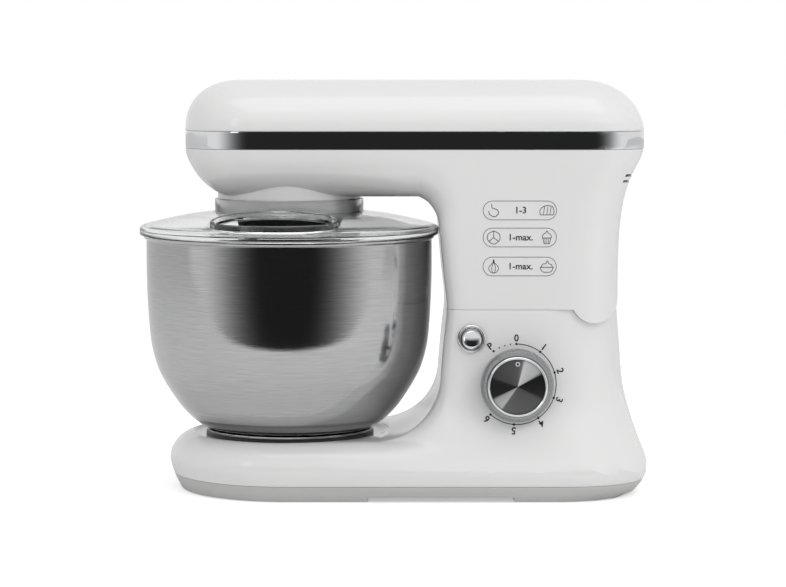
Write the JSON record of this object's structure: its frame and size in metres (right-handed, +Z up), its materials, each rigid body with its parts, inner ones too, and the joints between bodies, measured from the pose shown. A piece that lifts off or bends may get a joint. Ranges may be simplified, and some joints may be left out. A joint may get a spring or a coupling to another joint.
{
  "type": "stand mixer",
  "caption": "Tilt-head kitchen stand mixer: steel bowl, clear splash lid with a pour opening, chrome-banded head, side speed dial and a flat beater on a planetary drive.",
  "frame": {"origin": "bottom centre of the machine's box, on the surface it stands on", "axes": "+X from the bowl towards the column, +Y away from the side with the speed dial, +Z up"},
  "size_m": [0.3969, 0.2346, 0.32],
  "materials": {
    "white_gloss": "glossy moulded plastic",
    "tray_grey": "satin moulded plastic",
    "chrome": "polished chrome plate",
    "bowl_steel": "spun and brushed stainless steel",
    "plain_steel": "bright steel",
    "cast_metal": "cast aluminium",
    "black_plastic": "matte moulded plastic",
    "rubber": "matte rubber",
    "bronze": "sintered bronze",
    "nylon": "satin moulded nylon",
    "copper_windings": "lacquered windings and laminations",
    "board_green": "varnished circuit board",
    "dial_metal": "radially spun aluminium",
    "knob_silver": "satin silver",
    "clear_lid": "clear moulded plastic"
  },
  "bodies": {
    "base": {"base_shell": "white_gloss", "base_tray": "tray_grey", "foot_1": "rubber", "foot_2": "rubber", "foot_3": "rubber", "foot_4": "rubber", "tray_screw_1": "plain_steel", "tray_screw_2": "plain_steel", "tray_screw_3": "plain_steel", "tray_screw_4": "plain_steel", "bowl_seat": "black_plastic", "hinge_bracket": "plain_steel", "hinge_pin": "plain_steel", "speed_switch": "black_plastic", "control_board": "board_green", "cord_gland": "black_plastic", "release_bezel": "chrome"},
    "knob": {"knob_body": "knob_silver", "knob_ring": "chrome", "knob_face": "dial_metal"},
    "release": {"release_button": "chrome", "lock_bar": "plain_steel"},
    "bowl": {"bowl": "bowl_steel", "bowl_foot": "bowl_steel"},
    "head": {"head_lower_shell": "white_gloss", "trim_band": "chrome", "head_top_cover": "white_gloss", "head_deck": "black_plastic", "hinge_bush_near": "bronze", "hinge_bush_far": "bronze", "ring_gear": "cast_metal", "gear_housing": "cast_metal", "gear_cover": "cast_metal", "hub_collar": "white_gloss", "motor_body": "plain_steel", "motor_bracket": "cast_metal", "drive_belt": "rubber", "splash_lid": "clear_lid"},
    "carrier": {"planet_carrier": "black_plastic", "carrier_wheel": "nylon"},
    "tool": {"planet_gear": "plain_steel", "tool_shaft": "plain_steel", "flat_beater": "cast_metal"},
    "pinion": {"pinion_shaft": "plain_steel", "belt_pulley": "nylon"},
    "motor": {"motor_rotor": "copper_windings", "motor_fan": "nylon", "motor_pulley": "plain_steel"}
  },
  "joints": [
    {"name": "head_tilt", "type": "hinge", "parent": "base", "child": "head", "pos_m": [0.1555, 0, 0.154], "axis": [0, 1, 0], "range_deg": [0, 35]},
    {"name": "speed_dial", "type": "hinge", "parent": "base", "child": "knob", "pos_m": [0.0942, -0.074, 0.0885], "axis": [0, 1, 0], "range_deg": [-36, 221]},
    {"name": "release_press", "type": "slide", "parent": "base", "child": "release", "axis": [0, 1, 0], "range_m": [0, 0.004], "stiffness_N_per_m": 400, "springref_m": -0.002},
    {"name": "bowl_twist", "type": "hinge", "parent": "base", "child": "bowl", "pos_m": [-0.0815, 0, 0.0453], "axis": [0, 0, 1], "range_deg": [0, 25]},
    {"name": "carrier_spin", "type": "hinge", "parent": "head", "child": "carrier", "pos_m": [-0.0815, 0, 0.22], "axis": [0, 0, 1], "continuous": true},
    {"name": "tool_spin", "type": "hinge", "parent": "carrier", "child": "tool", "pos_m": [-0.1115, 0, 0.22], "axis": [0, 0, 1], "continuous": true},
    {"name": "pinion_spin", "type": "hinge", "parent": "head", "child": "pinion", "pos_m": [-0.0275, 0, 0.25], "axis": [0, 0, 1], "continuous": true},
    {"name": "motor_spin", "type": "hinge", "parent": "head", "child": "motor", "pos_m": [0.107, 0, 0.2], "axis": [0, 0, 1], "continuous": true}
  ],
  "couplings": [
    {"joint": "tool_spin", "follows": "carrier_spin", "ratio": -3},
    {"joint": "pinion_spin", "follows": "carrier_spin", "ratio": -5},
    {"joint": "motor_spin", "follows": "carrier_spin", "ratio": -20}
  ]
}
